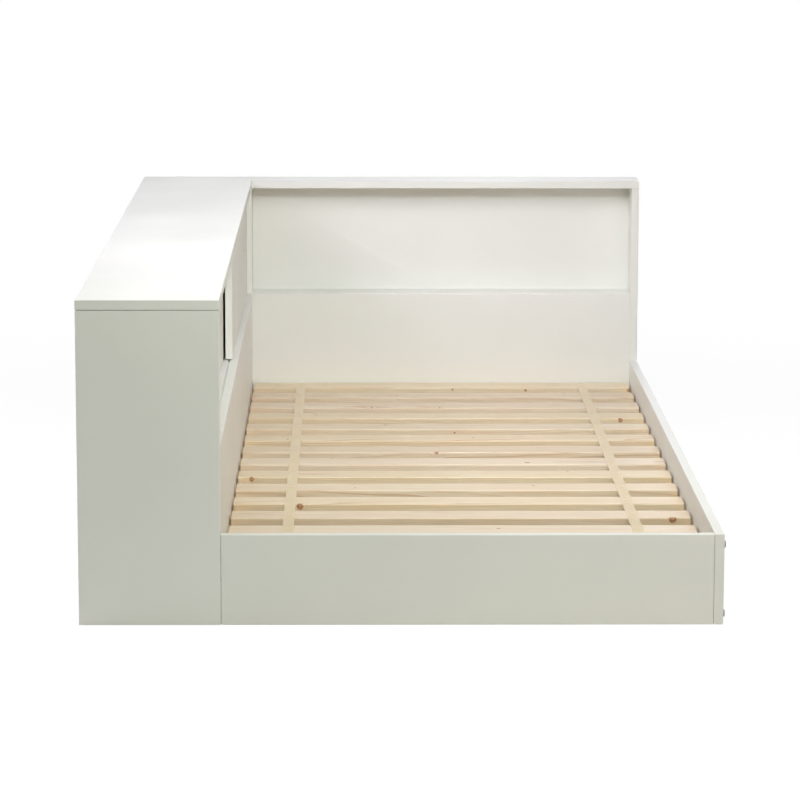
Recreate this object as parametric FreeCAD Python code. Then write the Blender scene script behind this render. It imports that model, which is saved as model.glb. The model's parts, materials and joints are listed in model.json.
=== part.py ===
import FreeCAD, Part
import os
from FreeCAD import Vector

# Low bed with a storage cabinet along its left side and a shelf headboard
# across its far end.  Millimetres.  While modelling, X runs from the cabinet's
# outer face, Y from the front faces and Z up from the floor; every solid is
# then moved so that the origin is the centre of the whole box at floor level.

# ---- driving dimensions ----------------------------------------------------

# lacquered boards
BOARD = 18.0                # thickness of every lacquered board
EDGE_BEVEL = 1.2            # broken edges along the boards

# lying surface
MATTRESS_WIDTH = 900.0
MATTRESS_LENGTH = 2000.0
SIDE_PLAY = 20.0            # room beside the mattress, for the bedding
END_PLAY = 10.0             # room at the mattress's ends

# outline
CABINET_WIDTH = 265.0
OVERALL_HEIGHT = 612.0
HEADBOARD_DEPTH = 100.0
LEDGE_HEIGHT = 337.0        # top of the shelf behind the doors and of the niche
RAIL_HEIGHT = 172.0         # foot board and side rail
BACK_LAP = 100.0            # how far the headboard back reaches below its ledge

# bypass sliding doors
DOOR_THICKNESS = 15.0
DOOR_RECESS = 12.0          # front door's face behind the cabinet's bed side
DOOR_SPACING = 5.0          # air between the two doors
DOOR_OVERLAP = 20.0
DOOR_END_GAP = 1.0          # between a closed door and its stop
DOOR_LIFT = 5.0             # air over a door, to lift it out of its groove
DOOR_BEVEL = 0.8
FINGER_CUP_RADIUS = 15.0
FINGER_CUP_DEPTH = 8.0
FINGER_CUP_SETBACK = 60.0   # cup's centre from the door's closing edge
DIVIDER_GAP = 3.0           # between the divider and the door track

# door track and glides
TRACK_BASE = 2.0
TRACK_FIN = 1.6
TRACK_DROP = 12.0           # the whole profile's height
TRACK_SIDE_GAP = 0.4        # between a door's face and a fin
GROOVE_WIDTH = 3.0
GROOVE_DEPTH = 5.0
RUNNING_GAP = 0.3           # under the glides and beside their tongues
TONGUE_LENGTH = 24.0
TONGUE_REACH = 4.0          # depth of the tongue in its groove
GLIDE_PAD = 2.2             # thickness of the pad under the door
GLIDE_PAD_LENGTH = 30.0
GLIDE_PAD_INSET = 1.0       # pad's long side from the door's face
GLIDE_PLUG_WIDTH = 6.0
GLIDE_PLUG_DEPTH = 12.0     # how far the plug reaches up into the door
GLIDE_SETBACK = 60.0        # from a door's end

# slatted base
SLAT_COUNT = 14
SLAT_WIDTH = 74.0
SLAT_THICKNESS = 17.0
SLAT_RADIUS = 3.0
SLAT_END_GAP = 5.0
SLAT_DROP = 54.0            # slat tops below the rail's top
FIRST_SLAT_GAP = 111.0      # from the foot board
LAST_SLAT_GAP = 3.0         # from the headboard
CLEAT_WIDTH = 20.0
CLEAT_HEIGHT = 40.0
CLEAT_END_GAP = 2.0
CLEAT_BEVEL = 2.0
WEBBING_WIDTH = 22.0
WEBBING_THICKNESS = 1.2
WEBBING_INSET = 103.0       # webbing's outer edge from the ends of the slats
WEBBING_TAIL = 12.0         # first and last slat's edge left bare

# inner boards of the cabinet
LOWER_SUPPORT_COUNT = 2

# joinery
FIT = 0.1                   # clearance of a fitting in its bore
TENON_LENGTH = 30.0         # loose wooden tongue, half in each board
TENON_WIDTH = 30.0
TENON_THICKNESS = 6.0
TENON_MARGIN = 40.0         # its middle from a board's edge
CAM_RADIUS = 7.5
CAM_BELOW_AXIS = 3.5        # cam's depth beyond its stud's axis
CAM_SETBACK = 34.0
CAM_MARGIN = 60.0           # cam from a board's edge
STUD_RADIUS = 3.0
STUD_GRIP = 11.0
BOLT_HEAD_RADIUS = 7.5
BOLT_CROWN_RADIUS = 4.5     # flat top of the button head
BOLT_HEAD_HEIGHT = 3.0
BOLT_RADIUS = 3.0
BOLT_LENGTH = 55.0
BOLT_MARGIN = 20.0          # bolts from the rail's upper and lower edges
NUT_RADIUS = 5.0
NUT_BEYOND_AXIS = 5.0
NUT_SETBACK = 12.0          # nut's axis back from the bolt's tip
BRACKET_LEG = 40.0
BRACKET_HEIGHT = 30.0
BRACKET_THICKNESS = 2.5
BRACKET_RISE = 20.0         # bracket's lower edge above the floor
BRACKET_BEVEL = 4.0

# ---- places that follow from them ------------------------------------------

INNER_WIDTH = MATTRESS_WIDTH + SIDE_PLAY
INNER_LENGTH = MATTRESS_LENGTH + END_PLAY
BED_X = CABINET_WIDTH                       # cabinet's face on the bed side
RAIL_X = BED_X + INNER_WIDTH                # rail's inner face
OUTER_X = RAIL_X + BOARD
WALL_X = BED_X - BOARD                      # inside of the lower wall
HEAD_Y = BOARD + INNER_LENGTH               # headboard's front face
REAR_Y = HEAD_Y + HEADBOARD_DEPTH
BACK_Y = REAR_Y - BOARD                     # front of the rear boards
UNDER_TOP = OVERALL_HEIGHT - BOARD
UNDER_LEDGE = LEDGE_HEIGHT - BOARD
SLAT_TOP = RAIL_HEIGHT - SLAT_DROP
SLAT_UNDERSIDE = SLAT_TOP - SLAT_THICKNESS
HALF_BOARD = BOARD / 2

FRONT_DOOR_X = BED_X - DOOR_RECESS - DOOR_THICKNESS
REAR_DOOR_X = FRONT_DOOR_X - DOOR_SPACING - DOOR_THICKNESS
DOOR_LENGTH = (INNER_LENGTH + DOOR_OVERLAP) / 2 - DOOR_END_GAP
DOOR_UNDERSIDE = LEDGE_HEIGHT + RUNNING_GAP + GLIDE_PAD
DOOR_TOP = UNDER_TOP - TRACK_BASE - DOOR_LIFT
TRACK_INNER_X = REAR_DOOR_X - TRACK_SIDE_GAP - TRACK_FIN

RIGHT = Vector(1, 0, 0)
LEFT = Vector(-1, 0, 0)
BACKWARD = Vector(0, 1, 0)
FORWARD = Vector(0, -1, 0)
UP = Vector(0, 0, 1)
DOWN = Vector(0, 0, -1)

boards = {}                                 # single boards, by node name
fittings = {}                               # groups of like fittings


# ---- shapes ----------------------------------------------------------------

def block(corner, opposite):
    """Plain block between any two opposite corners."""
    low = Vector(*(min(pair) for pair in zip(corner, opposite)))
    high = Vector(*(max(pair) for pair in zip(corner, opposite)))
    size = high - low
    return Part.makeBox(size.x, size.y, size.z, low)


def bevelled_block(corner, opposite, bevel):
    """Block whose four longest edges are broken; its ends stay square."""
    plain = block(corner, opposite)
    return plain.makeChamfer(bevel, lengthwise_edges(plain))


def rounded_block(corner, opposite, radius):
    """Block whose four longest edges are rounded; its ends stay square."""
    plain = block(corner, opposite)
    return plain.makeFillet(radius, lengthwise_edges(plain))


def lengthwise_edges(plain):
    """The four longest edges of a block."""
    return sorted(plain.Edges, key=lambda edge: edge.Length)[-4:]


def rod(start, direction, radius, length):
    """Round rod from a point along a direction."""
    return Part.makeCylinder(radius, length, start, direction)


def add_board(name, corner, opposite, bevel=EDGE_BEVEL):
    """One board with broken edges as a node of its own."""
    boards[name] = bevelled_block(corner, opposite, bevel)


def add_fitting(group, solid):
    """One more piece in a group of like fittings."""
    fittings.setdefault(group, []).append(solid)


def drill(name, *tools):
    """Bores or grooves cut into one board."""
    boards[name] = boards[name].cut(list(tools))


# ---- joints ----------------------------------------------------------------

def tongue_joint(first, second, point, direction, along):
    """Loose wooden tongue across the joint plane, half in each board.

    direction crosses the joint and along runs with the joint; the tongue's
    thickness is square to both.
    """
    half = (direction * (TENON_LENGTH / 2) + along * (TENON_WIDTH / 2)
            + direction.cross(along) * (TENON_THICKNESS / 2))
    room = (direction + along + direction.cross(along)) * FIT
    mortise = block(point - half - room, point + half + room)
    drill(first, mortise)
    drill(second, mortise)
    add_fitting("loose_tongues", block(point - half, point + half))


def cam_joint(cam_board, stud_board, point, direction, face):
    """Cam in one board's face that draws a stud of the next board's edge.

    point lies in the joint plane at the cam board's middle, direction points
    into the stud board and face is the cam board's bored side.
    """
    centre = point - direction * CAM_SETBACK
    mouth = centre + face * HALF_BOARD
    depth = HALF_BOARD + CAM_BELOW_AXIS
    bore_radius = STUD_RADIUS + FIT
    drill(cam_board, rod(mouth, face * -1, CAM_RADIUS + FIT, depth + FIT),
          rod(centre, direction, bore_radius, CAM_SETBACK))
    drill(stud_board, rod(point, direction, bore_radius, STUD_GRIP + FIT))
    across = face.cross(direction) * bore_radius
    notch = block(centre + across + face * bore_radius,
                  centre - across - face * depth + direction * CAM_RADIUS)
    add_fitting("cam_locks", rod(mouth, face * -1, CAM_RADIUS, depth).cut(notch))
    add_fitting("cam_studs", rod(centre + direction * FIT, direction, STUD_RADIUS,
                                 CAM_SETBACK - FIT + STUD_GRIP))


# ---- cabinet ---------------------------------------------------------------

def cabinet_boards():
    """Carcase: ends, top, outer panel, lower wall, shelf and inner boards."""
    add_board("cabinet_front_end", (0, 0, 0), (BED_X, BOARD, UNDER_TOP))
    add_board("cabinet_rear_end", (0, BACK_Y, 0), (BED_X, REAR_Y, UNDER_TOP))
    add_board("cabinet_top", (0, 0, UNDER_TOP), (BED_X, REAR_Y, OVERALL_HEIGHT))
    add_board("cabinet_outer_panel", (0, BOARD, 0), (BOARD, BACK_Y, UNDER_TOP))
    add_board("cabinet_lower_wall", (WALL_X, BOARD, 0), (BED_X, BACK_Y, LEDGE_HEIGHT))
    add_board("cabinet_shelf", (BOARD, BOARD, UNDER_LEDGE), (WALL_X, BACK_Y, LEDGE_HEIGHT))
    add_board("cabinet_jamb", (WALL_X, HEAD_Y, LEDGE_HEIGHT), (BED_X, BACK_Y, UNDER_TOP))
    add_board("cabinet_partition", (BOARD, HEAD_Y, LEDGE_HEIGHT),
              (WALL_X, HEAD_Y + BOARD, UNDER_TOP))
    divider_y = BOARD + (INNER_LENGTH - BOARD) / 2
    add_board("cabinet_divider", (BOARD, divider_y, LEDGE_HEIGHT),
              (TRACK_INNER_X - DIVIDER_GAP, divider_y + BOARD, UNDER_TOP))
    for number in range(1, LOWER_SUPPORT_COUNT + 1):
        support_y = BOARD + number * (BACK_Y - BOARD) / (LOWER_SUPPORT_COUNT + 1) - HALF_BOARD
        add_board(f"cabinet_lower_support_{number}", (BOARD, support_y, 0),
                  (WALL_X, support_y + BOARD, UNDER_LEDGE))


def cabinet_joinery():
    """Cams and tongues that hold the carcase together, all from the inside."""
    wall_middle = BED_X - HALF_BOARD
    ends = (("cabinet_front_end", BOARD, FORWARD), ("cabinet_rear_end", BACK_Y, BACKWARD))
    for end, joint_y, outward in ends:
        cam_joint("cabinet_lower_wall", end, Vector(wall_middle, joint_y, CAM_MARGIN),
                  outward, LEFT)
        cam_joint(end, "cabinet_top", Vector(BED_X / 2, joint_y, UNDER_TOP) + outward * HALF_BOARD,
                  UP, outward * -1)
        for z in (TENON_MARGIN, UNDER_TOP - TENON_MARGIN):
            tongue_joint("cabinet_outer_panel", end, Vector(HALF_BOARD, joint_y, z),
                         BACKWARD, UP)
        tongue_joint("cabinet_shelf", end,
                     Vector(BED_X / 2, joint_y, LEDGE_HEIGHT - HALF_BOARD), BACKWARD, RIGHT)
    tongue_joint("cabinet_jamb", "cabinet_top",
                 Vector(wall_middle, HEAD_Y + TENON_MARGIN, UNDER_TOP), UP, BACKWARD)


# ---- sliding doors ---------------------------------------------------------

def door_track():
    """Double channel under the cabinet top that keeps both doors upright."""
    bottom = UNDER_TOP - TRACK_DROP
    ceiling = UNDER_TOP - TRACK_BASE
    outer_fin_x = FRONT_DOOR_X + DOOR_THICKNESS + TRACK_SIDE_GAP
    inner_fin = (TRACK_INNER_X, TRACK_INNER_X + TRACK_FIN)
    middle_fin = (REAR_DOOR_X + DOOR_THICKNESS + TRACK_SIDE_GAP, FRONT_DOOR_X - TRACK_SIDE_GAP)
    outer_fin = (outer_fin_x, outer_fin_x + TRACK_FIN)
    corners = [(inner_fin[0], UNDER_TOP), (inner_fin[0], bottom), (inner_fin[1], bottom),
               (inner_fin[1], ceiling), (middle_fin[0], ceiling), (middle_fin[0], bottom),
               (middle_fin[1], bottom), (middle_fin[1], ceiling), (outer_fin[0], ceiling),
               (outer_fin[0], bottom), (outer_fin[1], bottom), (outer_fin[1], UNDER_TOP)]
    outline = [Vector(x, BOARD + FIT, z) for x, z in corners]
    profile = Part.Face(Part.makePolygon(outline + outline[:1]))
    boards["door_track"] = profile.extrude(BACKWARD * (INNER_LENGTH - 2 * FIT))


def guide_groove(door_x):
    """Groove in the shelf that the tongues of one door's glides run in."""
    middle = door_x + DOOR_THICKNESS / 2
    groove = block((middle - GROOVE_WIDTH / 2, BOARD, LEDGE_HEIGHT - GROOVE_DEPTH),
                   (middle + GROOVE_WIDTH / 2, HEAD_Y, LEDGE_HEIGHT + FIT))
    drill("cabinet_shelf", groove)
    drill("cabinet_lower_wall", groove)


def sliding_door(name, door_x, near_y, cup_y):
    """One door with its finger cup and the two glides in its lower edge."""
    add_board(name, (door_x, near_y, DOOR_UNDERSIDE),
              (door_x + DOOR_THICKNESS, near_y + DOOR_LENGTH, DOOR_TOP), DOOR_BEVEL)
    cup_z = (DOOR_UNDERSIDE + DOOR_TOP) / 2
    drill(name, rod(Vector(door_x + DOOR_THICKNESS, cup_y, cup_z), LEFT,
                    FINGER_CUP_RADIUS, FINGER_CUP_DEPTH))
    for glide_y in (near_y + GLIDE_SETBACK, near_y + DOOR_LENGTH - GLIDE_SETBACK):
        foot = Vector(door_x + DOOR_THICKNESS / 2, glide_y, DOOR_UNDERSIDE)
        drill(name, glide_plug(foot, FIT))
        add_fitting(f"{name}_glides", door_glide(foot))


def glide_plug(foot, room):
    """Flat plug of a glide, or with some room the slot that takes it."""
    return slab(foot, GLIDE_PLUG_WIDTH / 2 + room, TONGUE_LENGTH / 2 + room,
                foot.z, foot.z + GLIDE_PLUG_DEPTH + room)


def slab(middle, half_width, half_length, bottom, top):
    """Block about an upright line, given by its half sizes and two heights."""
    return block((middle.x - half_width, middle.y - half_length, bottom),
                 (middle.x + half_width, middle.y + half_length, top))


def door_glide(foot):
    """Plastic glide: plug in the door, pad under it, tongue in the groove."""
    pad_bottom = foot.z - GLIDE_PAD
    pad = slab(foot, DOOR_THICKNESS / 2 - GLIDE_PAD_INSET, GLIDE_PAD_LENGTH / 2,
               pad_bottom, foot.z)
    tongue = slab(foot, GROOVE_WIDTH / 2 - RUNNING_GAP, TONGUE_LENGTH / 2,
                  LEDGE_HEIGHT - TONGUE_REACH, pad_bottom)
    return pad.fuse([tongue, glide_plug(foot, 0)]).removeSplitter()


def doors():
    """Front door over the far half, rear door over the near half."""
    far_y = HEAD_Y - DOOR_END_GAP - DOOR_LENGTH
    near_y = BOARD + DOOR_END_GAP
    sliding_door("front_door", FRONT_DOOR_X, far_y, far_y + DOOR_LENGTH - FINGER_CUP_SETBACK)
    sliding_door("rear_door", REAR_DOOR_X, near_y, near_y + FINGER_CUP_SETBACK)
    guide_groove(FRONT_DOOR_X)
    guide_groove(REAR_DOOR_X)


# ---- headboard -------------------------------------------------------------

def headboard_boards():
    """Open niche with a ledge, a cap, a back and one upright at its right."""
    add_board("headboard_lower_panel", (BED_X, HEAD_Y, 0), (RAIL_X, HEAD_Y + BOARD, LEDGE_HEIGHT))
    add_board("headboard_ledge", (BED_X, HEAD_Y + BOARD, UNDER_LEDGE),
              (RAIL_X, BACK_Y, LEDGE_HEIGHT))
    add_board("headboard_back", (BED_X, BACK_Y, UNDER_LEDGE - BACK_LAP),
              (RAIL_X, REAR_Y, UNDER_TOP))
    add_board("headboard_cap", (BED_X, HEAD_Y, UNDER_TOP), (OUTER_X, REAR_Y, OVERALL_HEIGHT))
    add_board("headboard_upright", (RAIL_X, HEAD_Y, 0), (OUTER_X, REAR_Y, UNDER_TOP))


def headboard_joinery():
    """Cams out of sight behind the panels, glued tongues where a side shows."""
    panel_y = HEAD_Y + HALF_BOARD
    back_y = REAR_Y - HALF_BOARD
    middle_x = (BED_X + RAIL_X) / 2
    ledge_z = LEDGE_HEIGHT - HALF_BOARD
    back_z = (LEDGE_HEIGHT + UNDER_TOP) / 2
    cam_joint("headboard_lower_panel", "cabinet_lower_wall",
              Vector(BED_X, panel_y, CAM_MARGIN), LEFT, BACKWARD)
    cam_joint("headboard_lower_panel", "headboard_upright",
              Vector(RAIL_X, panel_y, CAM_MARGIN), RIGHT, BACKWARD)
    for neighbour, joint_x in (("cabinet_rear_end", BED_X), ("headboard_upright", RAIL_X)):
        tongue_joint("headboard_back", neighbour, Vector(joint_x, back_y, back_z), RIGHT, UP)
    for neighbour, joint_y in (("headboard_lower_panel", HEAD_Y + BOARD),
                               ("headboard_back", BACK_Y)):
        tongue_joint("headboard_ledge", neighbour, Vector(middle_x, joint_y, ledge_z),
                     BACKWARD, RIGHT)
    for x in (BED_X + TENON_MARGIN, RAIL_X - TENON_MARGIN):
        tongue_joint("headboard_back", "headboard_cap", Vector(x, back_y, UNDER_TOP), UP, RIGHT)
    tongue_joint("headboard_upright", "headboard_cap",
                 Vector(OUTER_X - HALF_BOARD, HEAD_Y + TENON_MARGIN, UNDER_TOP), UP, BACKWARD)


# ---- bed frame -------------------------------------------------------------

def frame_boards():
    """Foot board between the cabinet and the rail, and the rail itself."""
    add_board("foot_board", (BED_X, 0, 0), (RAIL_X, BOARD, RAIL_HEIGHT))
    add_board("side_rail", (RAIL_X, 0, 0), (OUTER_X, HEAD_Y, RAIL_HEIGHT))


def frame_joinery():
    """Foot board to the cabinet, rail to the headboard, bolts at the corner."""
    upper_z = RAIL_HEIGHT - TENON_MARGIN
    cam_joint("foot_board", "cabinet_front_end", Vector(BED_X, HALF_BOARD, RAIL_HEIGHT / 2),
              LEFT, BACKWARD)
    tongue_joint("foot_board", "cabinet_front_end", Vector(BED_X, HALF_BOARD, upper_z), LEFT, UP)
    for z in (TENON_MARGIN, upper_z):
        tongue_joint("side_rail", "headboard_upright",
                     Vector(OUTER_X - HALF_BOARD, HEAD_Y, z), BACKWARD, UP)
    for z in (BOLT_MARGIN, RAIL_HEIGHT - BOLT_MARGIN):
        rail_bolt(Vector(OUTER_X, HALF_BOARD, z))


def rail_bolt(seat):
    """Button-head bolt through the rail into a barrel nut in the foot board."""
    shank = rod(seat + RIGHT * BOLT_HEAD_HEIGHT, LEFT, BOLT_RADIUS,
                BOLT_HEAD_HEIGHT + BOLT_LENGTH)
    head = Part.makeCone(BOLT_HEAD_RADIUS, BOLT_CROWN_RADIUS, BOLT_HEAD_HEIGHT, seat, RIGHT)
    add_fitting("rail_bolts", head.fuse(shank).removeSplitter())
    bore = rod(seat, LEFT, BOLT_RADIUS + FIT, BOLT_LENGTH + FIT)
    nut_mouth = seat + LEFT * (BOLT_LENGTH - NUT_SETBACK) + BACKWARD * HALF_BOARD
    depth = HALF_BOARD + NUT_BEYOND_AXIS
    drill("side_rail", bore)
    drill("foot_board", bore, rod(nut_mouth, FORWARD, NUT_RADIUS + FIT, depth + FIT))
    add_fitting("barrel_nuts", rod(nut_mouth, FORWARD, NUT_RADIUS, depth).cut(bore))


def corner_bracket(corner, along_x, along_y):
    """Steel angle standing in an inner corner, its two legs against the boards."""
    rise = UP * BRACKET_RISE
    legs = []
    for along, inward in ((along_x, along_y), (along_y, along_x)):
        reach = corner + along * BRACKET_LEG + inward * BRACKET_THICKNESS
        leg = block(corner + rise, reach + rise + UP * BRACKET_HEIGHT)
        tip_edges = [edge for edge in leg.Edges
                     if abs(edge.tangentAt(0).dot(inward)) > 0.99
                     and (edge.CenterOfMass - corner).dot(along) > BRACKET_LEG / 2]
        legs.append(leg.makeChamfer(BRACKET_BEVEL, tip_edges))
    add_fitting("corner_brackets", legs[0].fuse(legs[1]).removeSplitter())


def corner_brackets():
    """Three angles low in the corners, out of sight under the slats."""
    corner_bracket(Vector(BED_X, BOARD, 0), RIGHT, BACKWARD)
    corner_bracket(Vector(BED_X, HEAD_Y, 0), RIGHT, FORWARD)
    corner_bracket(Vector(RAIL_X, HEAD_Y, 0), LEFT, FORWARD)


# ---- slatted base ----------------------------------------------------------

def cleats():
    """Pine battens along the lower wall and the rail that carry the slats."""
    near_y = BOARD + CLEAT_END_GAP
    far_y = HEAD_Y - CLEAT_END_GAP
    for name, x in (("cabinet_cleat", BED_X), ("rail_cleat", RAIL_X - CLEAT_WIDTH)):
        add_board(name, (x, near_y, SLAT_UNDERSIDE - CLEAT_HEIGHT),
                  (x + CLEAT_WIDTH, far_y, SLAT_UNDERSIDE), CLEAT_BEVEL)


def slats():
    """Loose pine slats across the cleats, evenly spaced."""
    pitch = (INNER_LENGTH - FIRST_SLAT_GAP - LAST_SLAT_GAP - SLAT_WIDTH) / (SLAT_COUNT - 1)
    for number in range(SLAT_COUNT):
        near_y = BOARD + FIRST_SLAT_GAP + number * pitch
        boards[f"slat_{number + 1:02d}"] = rounded_block(
            (BED_X + SLAT_END_GAP, near_y, SLAT_UNDERSIDE),
            (RAIL_X - SLAT_END_GAP, near_y + SLAT_WIDTH, SLAT_TOP), SLAT_RADIUS)


def webbing():
    """Two ribbons over the slats that keep their spacing."""
    near_y = BOARD + FIRST_SLAT_GAP + WEBBING_TAIL
    far_y = HEAD_Y - LAST_SLAT_GAP - WEBBING_TAIL
    left_x = BED_X + SLAT_END_GAP + WEBBING_INSET
    right_x = RAIL_X - SLAT_END_GAP - WEBBING_INSET - WEBBING_WIDTH
    for name, x in (("webbing_left", left_x), ("webbing_right", right_x)):
        boards[name] = block((x, near_y, SLAT_TOP),
                             (x + WEBBING_WIDTH, far_y, SLAT_TOP + WEBBING_THICKNESS))


# ---- writing ---------------------------------------------------------------

def write_nodes():
    """One STEP file per node, moved to the part's own origin."""
    shift = Vector(-(OUTER_X + BOLT_HEAD_HEIGHT) / 2, -REAR_Y / 2, 0)
    os.makedirs("parts", exist_ok=True)
    nodes = dict(boards)
    for group, solids in fittings.items():
        nodes[group] = Part.makeCompound(solids)
    for name, shape in nodes.items():
        moved = shape.copy()
        moved.translate(shift)
        moved.exportStep(f"parts/{name}.step")
    print(len(nodes), "nodes")


cabinet_boards()
headboard_boards()
frame_boards()
door_track()
doors()
cabinet_joinery()
headboard_joinery()
frame_joinery()
corner_brackets()
cleats()
slats()
webbing()
write_nodes()
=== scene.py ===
"""Low bed with a side cabinet and shelf headboard: finishes, slats, ribbons and fittings.

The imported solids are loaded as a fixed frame.  The lacquered boards keep their
solids and get their finish here.  Slats, ribbons, battens, bolts, cams and the
other small fittings are modelled here in the same places.  Lengths of the
object are in millimetres where a name ends in _mm, and in metres elsewhere.
"""

from __future__ import annotations

import json
import logging
import math
from collections.abc import Callable, Mapping, Sequence
from dataclasses import dataclass, field
from enum import Enum
from typing import Any

import bmesh
import bpy
from mathutils import Euler, Matrix, Vector

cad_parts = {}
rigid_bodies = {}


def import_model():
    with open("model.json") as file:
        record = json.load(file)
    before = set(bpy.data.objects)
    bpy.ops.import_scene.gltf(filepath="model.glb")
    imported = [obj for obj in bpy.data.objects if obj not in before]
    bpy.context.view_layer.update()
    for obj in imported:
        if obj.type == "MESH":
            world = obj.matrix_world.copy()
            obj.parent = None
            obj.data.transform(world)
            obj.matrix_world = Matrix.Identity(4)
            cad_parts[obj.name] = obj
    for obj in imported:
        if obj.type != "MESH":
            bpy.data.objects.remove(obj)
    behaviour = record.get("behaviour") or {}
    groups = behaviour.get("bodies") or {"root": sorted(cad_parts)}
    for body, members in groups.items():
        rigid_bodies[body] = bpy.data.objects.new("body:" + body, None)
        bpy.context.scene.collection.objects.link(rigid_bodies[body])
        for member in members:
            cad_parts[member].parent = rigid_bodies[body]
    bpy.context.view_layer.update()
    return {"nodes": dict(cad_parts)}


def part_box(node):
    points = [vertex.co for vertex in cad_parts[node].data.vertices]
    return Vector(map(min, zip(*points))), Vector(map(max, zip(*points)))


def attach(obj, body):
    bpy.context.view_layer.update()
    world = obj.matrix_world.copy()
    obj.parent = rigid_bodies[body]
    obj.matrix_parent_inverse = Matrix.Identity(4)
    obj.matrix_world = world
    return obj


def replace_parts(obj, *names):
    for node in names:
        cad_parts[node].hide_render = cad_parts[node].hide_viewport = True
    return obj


LOG = logging.getLogger("bookcase_bed")
MM = 0.001
PER_METRE = 1000.0
SAME_PLACE = 1e-6
# a wave texture has 20 / tau bands in a unit at a scale of 1
WAVE_BANDS = 20.0 / math.tau


class Body(Enum):
    """The bodies that a piece may ride on."""

    FRAME = "bed_frame"
    FRONT_DOOR = "front_sliding_door"
    REAR_DOOR = "rear_sliding_door"


class Slot(Enum):
    """Material slots of the record, passed along with new pieces but not used."""

    LACQUER = "white_lacquer"
    PINE = "pine"
    RIBBON = "ribbon"
    PLASTIC = "white_plastic"
    ZINC = "zinc"
    STEEL = "plated_steel"


class Drive(Enum):
    """Recess that a tool turns a screw or a cam by."""

    HEXAGON = "hexagon"
    CROSS = "cross"
    SLOT = "slot"


# ---- finishes ---------------------------------------------------------------


def linear(colour: str, alpha: float = 1.0) -> tuple[float, float, float, float]:
    """Turn an sRGB hex colour into Blender's linear values.

    Args:
        colour: Colour such as "#E8E7E0".
        alpha: Fourth value of the result.

    Returns:
        Red, green, blue and alpha.
    """
    values = [int(colour[place : place + 2], 16) / 255 for place in (1, 3, 5)]
    red, green, blue = (
        value / 12.92 if value <= 0.04045 else ((value + 0.055) / 1.055) ** 2.4
        for value in values
    )
    return red, green, blue, alpha


def add_node(
    tree: bpy.types.NodeTree,
    kind: str,
    inputs: Mapping[int | str, Any] | None = None,
    **settings: Any,
) -> bpy.types.Node:
    """Add one shader node with its settings, values and links.

    Args:
        tree: Node tree that the node goes into.
        kind: Blender's name of the node type.
        inputs: Values or sockets for the node's inputs, by name or number.
        **settings: Attributes of the node itself.

    Returns:
        The new node.
    """
    node = tree.nodes.new(kind)
    for name, value in settings.items():
        setattr(node, name, value)
    for key, value in (inputs or {}).items():
        if isinstance(value, bpy.types.NodeSocket):
            tree.links.new(value, node.inputs[key])
        else:
            node.inputs[key].default_value = value
    return node


def set_stops(ramp: bpy.types.ColorRamp, stops: Sequence[tuple[float, str]]) -> None:
    """Give a colour ramp its stops.

    Args:
        ramp: The ramp of a colour ramp node.
        stops: Places from 0 to 1 with their hex colours, in order.
    """
    while len(ramp.elements) > 1:
        ramp.elements.remove(ramp.elements[-1])
    ramp.elements[0].position = stops[0][0]
    ramp.elements[0].color = linear(stops[0][1])
    for place, colour in stops[1:]:
        ramp.elements.new(place).color = linear(colour)


@dataclass(frozen=True)
class Finish:
    """What every finish has: a name and an empty node tree to begin from."""

    name: str

    def begin(self) -> tuple[bpy.types.Material, bpy.types.NodeTree]:
        """Make an empty material.

        Returns:
            The material and its node tree.
        """
        material = bpy.data.materials.new(self.name)
        material.use_nodes = True
        material.node_tree.nodes.clear()
        return material, material.node_tree

    def end(self, tree: bpy.types.NodeTree, inputs: Mapping[int | str, Any]) -> None:
        """Close a material with its surface shader.

        Args:
            tree: The material's node tree.
            inputs: Values and sockets of the surface shader.
        """
        surface = add_node(tree, "ShaderNodeBsdfPrincipled", inputs)
        add_node(tree, "ShaderNodeOutputMaterial", {"Surface": surface.outputs[0]})


@dataclass(frozen=True)
class SatinLacquer(Finish):
    """Acid-cured lacquer sprayed on board and sanded between coats.

    It gives an even off-white with a soft satin sheen, a faint orange peel and
    the slightest cloudiness from sheet to sheet.
    """

    colour: str = "#EFF0EA"
    cloud: str = "#EBECE6"
    cloud_mm: float = 420.0
    # real orange peel is 1 to 2 mm across and is drawn coarser, to show at all
    peel_mm: float = 7.0
    peel_depth_mm: float = 0.006
    peel_strength: float = 0.35
    roughness: float = 0.40
    roughness_range: tuple[float, float] = (-0.03, 0.05)
    ior: float = 1.5

    def build(self) -> bpy.types.Material:
        """Return the lacquer as a material."""
        material, tree = self.begin()
        place = add_node(tree, "ShaderNodeTexCoord").outputs["Object"]
        clouds = add_node(
            tree,
            "ShaderNodeTexNoise",
            {
                "Vector": place,
                "Scale": PER_METRE / self.cloud_mm,
                "Detail": 3.0,
                "Roughness": 0.6,
            },
        )
        cloud = add_node(
            tree,
            "ShaderNodeMapRange",
            {"Value": clouds.outputs[0], "From Min": 0.35, "From Max": 0.68},
        )
        tone = add_node(
            tree,
            "ShaderNodeMix",
            {0: cloud.outputs[0], 6: linear(self.colour), 7: linear(self.cloud)},
            data_type="RGBA",
        )
        peel = add_node(
            tree,
            "ShaderNodeTexNoise",
            {
                "Vector": place,
                "Scale": PER_METRE / self.peel_mm,
                "Detail": 2.0,
                "Roughness": 0.45,
            },
        )
        sheen = add_node(
            tree,
            "ShaderNodeMapRange",
            {
                "Value": clouds.outputs[0],
                "From Min": 0.3,
                "From Max": 0.7,
                "To Min": self.roughness + self.roughness_range[0],
                "To Max": self.roughness + self.roughness_range[1],
            },
        )
        bump = add_node(
            tree,
            "ShaderNodeBump",
            {
                "Height": peel.outputs[0],
                "Strength": self.peel_strength,
                "Distance": self.peel_depth_mm * MM,
            },
        )
        self.end(
            tree,
            {
                "Base Color": tone.outputs[2],
                "Roughness": sheen.outputs[0],
                "IOR": self.ior,
                "Normal": bump.outputs[0],
            },
        )
        return material


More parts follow.
